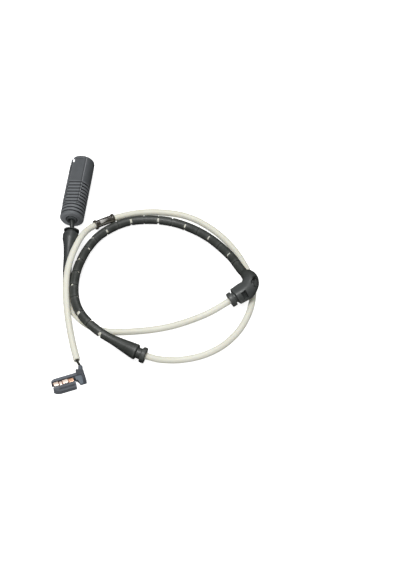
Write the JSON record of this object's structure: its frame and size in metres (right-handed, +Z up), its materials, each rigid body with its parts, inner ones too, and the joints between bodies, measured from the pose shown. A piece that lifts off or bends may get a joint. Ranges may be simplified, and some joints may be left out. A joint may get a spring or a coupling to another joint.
{
  "type": "brake pad wear sensor",
  "caption": "Looped brake pad wear sensor lead: round ribbed plug, rubber boots, pale sheathed cable, slotted rubber conduit with elbow, cable clip and small sensing head.",
  "frame": {"origin": "centre of the footprint's bounding box on the floor, measured without the free cables", "axes": "+Z up, away from the surface the coiled sensor lies on; +Y towards the plug end, the long way of the part"},
  "size_m": [0.1331, 0.1806, 0.0169],
  "materials": {
    "plug_plastic": "satin moulded slate grey",
    "insert_plastic": "satin grey",
    "terminal_brass": "bright drawn",
    "face_seal_rubber": "matt",
    "seal_rubber": "matt dark grey",
    "core_black": "satin",
    "core_brown": "satin",
    "jacket_black": "satin",
    "boot_rubber": "satin black",
    "sheath_ivory": "satin ivory",
    "wire_black": "satin",
    "conduit_rubber": "satin black",
    "clip_plastic": "glossy brown-black",
    "head_plastic": "satin blue-grey",
    "spring_copper": "bright copper alloy strip",
    "loop_copper": "bare copper wire"
  },
  "bodies": {
    "root": {"plug_housing": "plug_plastic", "plug_insert": "insert_plastic", "terminal_a": "terminal_brass", "terminal_b": "terminal_brass", "face_seal": "face_seal_rubber", "wire_seal": "seal_rubber", "core_a": "core_black", "core_b": "core_brown", "lead_jacket": "jacket_black", "plug_boot": "boot_rubber", "sheath": "sheath_ivory", "sensor_wire": "wire_black", "slotted_conduit": "conduit_rubber", "cable_clip": "clip_plastic", "sensor_head": "head_plastic", "contact_spring": "spring_copper", "wear_loop": "loop_copper"}
  },
  "joints": []
}
